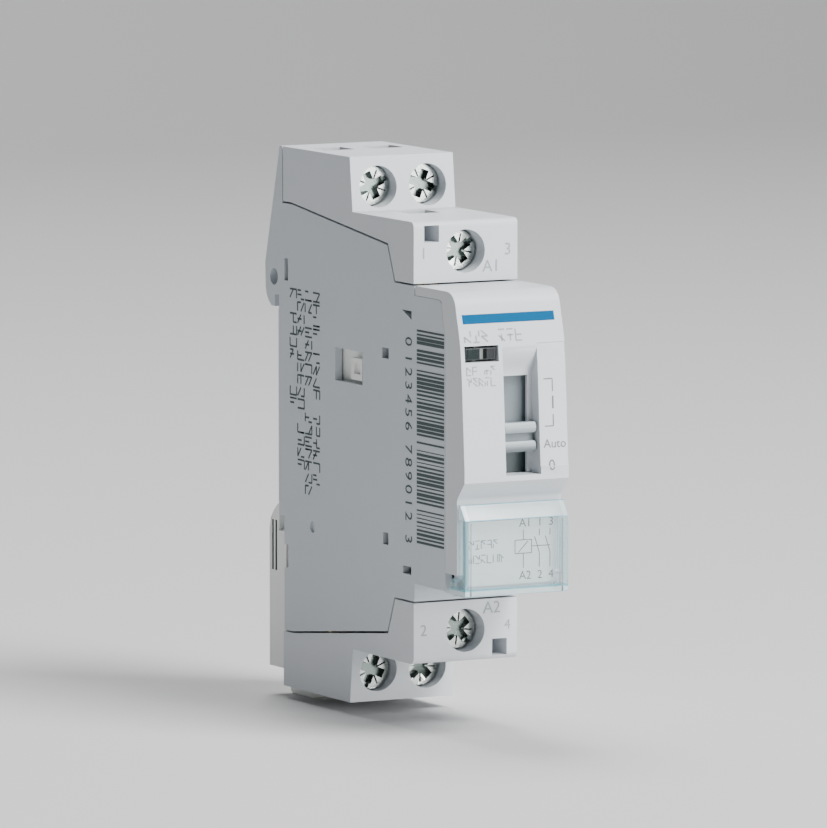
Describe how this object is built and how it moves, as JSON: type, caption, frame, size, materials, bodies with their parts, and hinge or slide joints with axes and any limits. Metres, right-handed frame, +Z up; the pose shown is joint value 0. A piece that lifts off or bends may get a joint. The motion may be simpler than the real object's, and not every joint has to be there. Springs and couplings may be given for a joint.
{
  "type": "din rail contactor",
  "caption": "Narrow modular contactor for a 35 mm rail, with stepped terminal blocks, a manual selector, an indicator and a hinged label window.",
  "frame": {"origin": "centre of the flat seat that rests on the 35 mm rail, on the rail's centreline and midway across the width", "axes": "+X right when the front is faced, +Y from the front back towards the rail, +Z up"},
  "size_m": [0.0176, 0.0644, 0.0845],
  "materials": {
    "housing_plastic": "fine-grained light grey moulded plastic",
    "cover_plastic": "fine-grained light grey moulded plastic",
    "natural_plastic": "natural off-white moulded plastic",
    "inner_plastic": "black glass-filled plastic",
    "clear_plastic": "clear moulded plastic with a cold tint at its edges",
    "card": "printed card",
    "knob_plastic": "blue-grey moulded plastic",
    "smoked_plastic": "dark smoked clear plastic",
    "flag_plastic": "pale moulded plastic",
    "zinc": "bright zinc-plated steel",
    "brass": "bare brass",
    "silver": "silver alloy",
    "copper": "bare copper",
    "magnet_steel": "stamped electrical steel",
    "spring_steel": "drawn spring wire",
    "enamelled_wire": "enamelled copper wire"
  },
  "bodies": {
    "housing": {"casing": "housing_plastic", "front_cap": "housing_plastic", "upper_terminal_cover": "cover_plastic", "lower_terminal_cover": "cover_plastic", "contact_frame": "inner_plastic", "label_card": "card", "indicator_lens": "smoked_plastic", "magnet_core": "magnet_steel", "shading_ring_upper": "copper", "shading_ring_lower": "copper", "coil_bobbin": "inner_plastic", "coil_winding": "enamelled_wire", "return_spring_upper": "spring_steel", "return_spring_lower": "spring_steel", "fixed_contact_1": "brass", "fixed_contact_2": "brass", "fixed_contact_3": "brass", "fixed_contact_4": "brass", "coil_terminal_a1": "brass", "coil_terminal_a2": "brass"},
    "carrier": {"contact_carrier": "natural_plastic", "armature": "magnet_steel", "armature_pin": "spring_steel", "moving_contact_left": "silver", "moving_contact_right": "silver", "contact_spring_left": "spring_steel", "contact_spring_right": "spring_steel"},
    "flag": {"indicator_flag": "flag_plastic"},
    "selector": {"selector_slide": "knob_plastic"},
    "window": {"label_window": "clear_plastic"},
    "clip": {"rail_clip": "natural_plastic"},
    "screw_1": {"terminal_screw_1": "zinc"},
    "screw_2": {"terminal_screw_2": "zinc"},
    "screw_3": {"terminal_screw_3": "zinc"},
    "screw_4": {"terminal_screw_4": "zinc"},
    "screw_a1": {"terminal_screw_a1": "zinc"},
    "screw_a2": {"terminal_screw_a2": "zinc"},
    "cage_1": {"terminal_cage_1": "zinc"},
    "cage_2": {"terminal_cage_2": "zinc"},
    "cage_3": {"terminal_cage_3": "zinc"},
    "cage_4": {"terminal_cage_4": "zinc"},
    "cage_a1": {"terminal_cage_a1": "zinc"},
    "cage_a2": {"terminal_cage_a2": "zinc"}
  },
  "joints": [
    {"name": "carrier_slide", "type": "slide", "parent": "housing", "child": "carrier", "axis": [0, 1, 0], "range_m": [0, 0.003], "stiffness_N_per_m": 300, "springref_m": -0.003, "deforming": ["return_spring_upper", "return_spring_lower"]},
    {"name": "flag_turn", "type": "hinge", "parent": "housing", "child": "flag", "pos_m": [-0.00525, -0.056, 0.01465], "axis": [0, 0, 1], "range_deg": [0, 75]},
    {"name": "selector_travel", "type": "slide", "parent": "housing", "child": "selector", "axis": [0, 0, 1], "range_m": [-0.0031, 0.0062]},
    {"name": "window_hinge", "type": "hinge", "parent": "housing", "child": "window", "pos_m": [0, -0.0566, -0.02], "axis": [1, 0, 0], "range_deg": [0, 90]},
    {"name": "clip_slide", "type": "slide", "parent": "housing", "child": "clip", "axis": [0, 0, -1], "range_m": [0, 0.004], "stiffness_N_per_m": 500, "springref_m": -0.002},
    {"name": "screw_1_turn", "type": "hinge", "parent": "housing", "child": "screw_1", "pos_m": [-0.0042, -0.021, 0.0367], "axis": [0, 1, 0], "range_deg": [0, 2250]},
    {"name": "screw_2_turn", "type": "hinge", "parent": "housing", "child": "screw_2", "pos_m": [-0.0042, -0.021, -0.0367], "axis": [0, 1, 0], "range_deg": [0, 2250]},
    {"name": "screw_3_turn", "type": "hinge", "parent": "housing", "child": "screw_3", "pos_m": [0.0042, -0.021, 0.0367], "axis": [0, 1, 0], "range_deg": [0, 2250]},
    {"name": "screw_4_turn", "type": "hinge", "parent": "housing", "child": "screw_4", "pos_m": [0.0042, -0.021, -0.0367], "axis": [0, 1, 0], "range_deg": [0, 2250]},
    {"name": "screw_a1_turn", "type": "hinge", "parent": "housing", "child": "screw_a1", "pos_m": [0, -0.041, 0.02845], "axis": [0, 1, 0], "range_deg": [0, 2250]},
    {"name": "screw_a2_turn", "type": "hinge", "parent": "housing", "child": "screw_a2", "pos_m": [0, -0.041, -0.02845], "axis": [0, 1, 0], "range_deg": [0, 2250]},
    {"name": "cage_1_slide", "type": "slide", "parent": "housing", "child": "cage_1", "axis": [0, -1, 0], "range_m": [0, 0.00437]},
    {"name": "cage_2_slide", "type": "slide", "parent": "housing", "child": "cage_2", "axis": [0, -1, 0], "range_m": [0, 0.00437]},
    {"name": "cage_3_slide", "type": "slide", "parent": "housing", "child": "cage_3", "axis": [0, -1, 0], "range_m": [0, 0.00437]},
    {"name": "cage_4_slide", "type": "slide", "parent": "housing", "child": "cage_4", "axis": [0, -1, 0], "range_m": [0, 0.00437]},
    {"name": "cage_a1_slide", "type": "slide", "parent": "housing", "child": "cage_a1", "axis": [0, -1, 0], "range_m": [0, 0.00437]},
    {"name": "cage_a2_slide", "type": "slide", "parent": "housing", "child": "cage_a2", "axis": [0, -1, 0], "range_m": [0, 0.00437]}
  ],
  "couplings": [
    {"joint": "flag_turn", "follows": "carrier_slide", "rad_per_m": 436.33},
    {"joint": "screw_1_turn", "follows": "cage_1_slide", "rad_per_m": 8976},
    {"joint": "screw_2_turn", "follows": "cage_2_slide", "rad_per_m": 8976},
    {"joint": "screw_3_turn", "follows": "cage_3_slide", "rad_per_m": 8976},
    {"joint": "screw_4_turn", "follows": "cage_4_slide", "rad_per_m": 8976},
    {"joint": "screw_a1_turn", "follows": "cage_a1_slide", "rad_per_m": 8976},
    {"joint": "screw_a2_turn", "follows": "cage_a2_slide", "rad_per_m": 8976}
  ]
}
